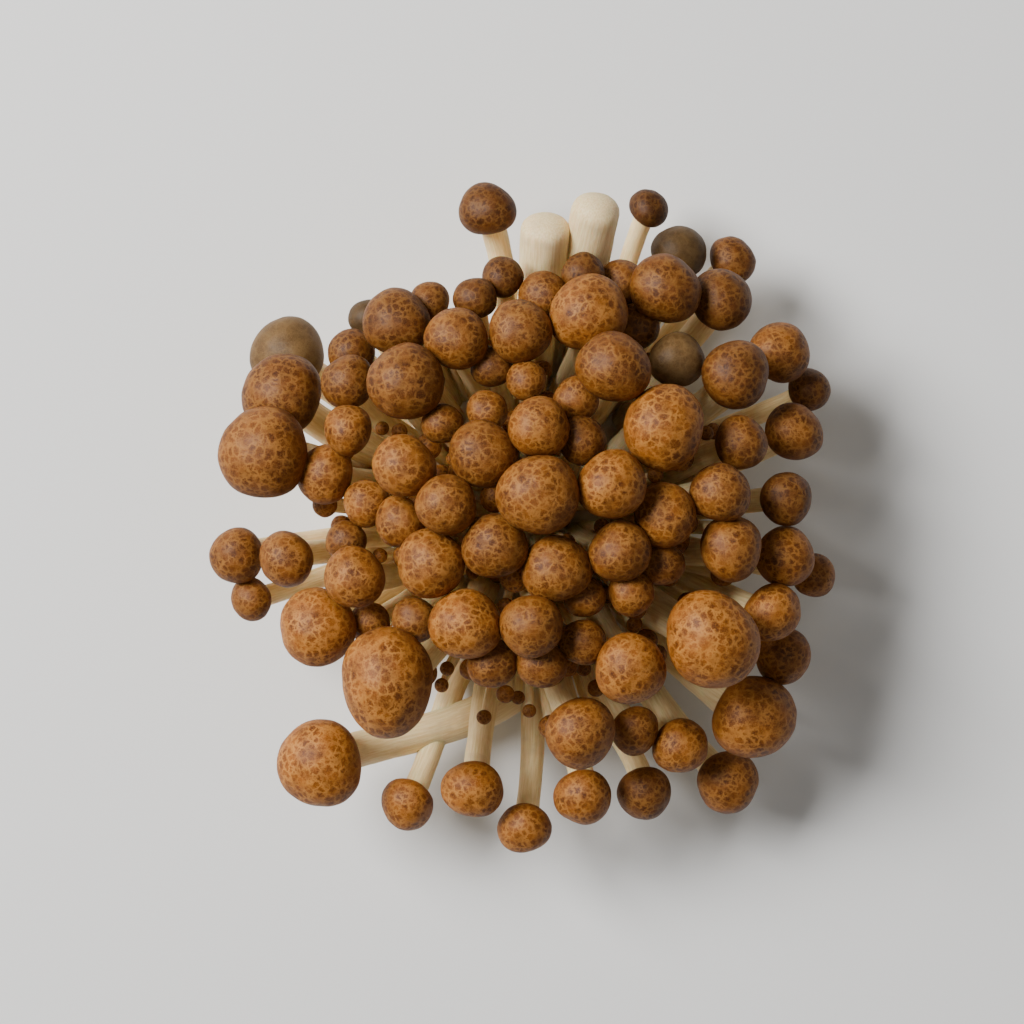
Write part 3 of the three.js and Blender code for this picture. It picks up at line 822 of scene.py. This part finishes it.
for i in range(FOOT_SMOOTHINGS):
    bmesh.ops.smooth_vert(
        foot_bm, verts=foot_bm.verts, factor=0.5, use_axis_x=True, use_axis_y=True, use_axis_z=True,
    )
for vert in foot_bm.verts:
    lumps = unevenness(vert.co, *FOOT_LUMPS) + unevenness(vert.co, *FOOT_FINE_LUMPS)
    vert.co += vert.normal * lumps
whole_foot = foot_bm.verts[:] + foot_bm.edges[:] + foot_bm.faces[:]
bmesh.ops.bisect_plane(foot_bm, geom=whole_foot, plane_co=(0, 0, 0), plane_no=UP, clear_inner=True)
rim = [edge for edge in foot_bm.edges if edge.is_boundary]
for edge in rim:
    edge.smooth = False
for face in bmesh.ops.contextual_create(foot_bm, geom=rim)["faces"]:
    face.material_index = 1
foot = make_object("foot", foot_bm, make_foot_flesh(
    "felted_foot",
    {
        "felt": (0.8, 0.7, 0.53, 1),
        "stain": (0.62, 0.46, 0.27, 1),
        "crumb": (0.3, 0.19, 0.1, 1),
        "cream": (0.78, 0.63, 0.41, 1),
    },
    stain_from=0.52,
))
foot.data.materials.append(make_foot_flesh(
    "cut_flesh",
    {
        "felt": (0.72, 0.58, 0.38, 1),
        "stain": (0.45, 0.29, 0.14, 1),
        "crumb": (0.22, 0.12, 0.05, 1),
        "cream": (0.72, 0.58, 0.38, 1),
    },
    stain_from=0.42,
))
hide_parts("base_stems_and_gills")


# ------------------------------------------------------------------------------ floor and light
# The cluster stands on a plain pale floor. A big soft lamp up on its left makes the main light, a
# wide one overhead fills the shadows evenly, and the room's walls give back a little more.
FLOOR_SIZE = 12000
FLOOR_COLOUR = (0.8, 0.79, 0.77, 1)
KEY_PLACE = Vector((-840, 420, 990))
KEY_POWER = 37
KEY_SIZE = 0.63  # in metres
FILL_PLACE = Vector((500, -250, 1400))
FILL_POWER = 0.4
FILL_SPREAD = math.radians(70)
ROOM_COLOUR = (1, 0.99, 0.97, 1)
ROOM_LIGHT = 0.08
BACKDROP_LIGHT = 0.33  # how light the room looks behind the floor

floor_bm = bmesh.new()
bmesh.ops.create_grid(floor_bm, x_segments=1, y_segments=1, size=FLOOR_SIZE * MM / 2)
floor_mesh = bpy.data.meshes.new("floor")
floor_bm.to_mesh(floor_mesh)
floor_bm.free()
floor = bpy.data.objects.new("floor", floor_mesh)
bpy.context.scene.collection.objects.link(floor)
floor_material, tree, shader = new_material("pale_floor", Roughness=0.9)
shader.inputs["Base Color"].default_value = FLOOR_COLOUR
floor_mesh.materials.append(floor_material)


def add_light(name, kind, place, power, **settings):
    """A lamp that points at the middle of the crown."""
    data = bpy.data.lights.new(name, kind)
    data.energy = power
    for setting, value in settings.items():
        setattr(data, setting, value)
    lamp = bpy.data.objects.new(name, data)
    lamp.location = place * MM
    lamp.rotation_mode = "QUATERNION"
    lamp.rotation_quaternion = (LOOKS_AT - place).to_track_quat("-Z", "Y")
    bpy.context.scene.collection.objects.link(lamp)


add_light("key_light", "AREA", KEY_PLACE, KEY_POWER, size=KEY_SIZE)
add_light("fill_light", "SUN", FILL_PLACE, FILL_POWER, angle=FILL_SPREAD)
world = bpy.data.worlds.new("studio")
world.use_nodes = True
tree = world.node_tree
background = tree.nodes["Background"]
background.inputs["Color"].default_value = ROOM_COLOUR
seen = add_node(tree, "ShaderNodeLightPath").outputs["Is Camera Ray"]
strength = ramp_between(tree, seen, 0.0, 1.0, ROOM_LIGHT, BACKDROP_LIGHT)
tree.links.new(strength, background.inputs["Strength"])
bpy.context.scene.world = world
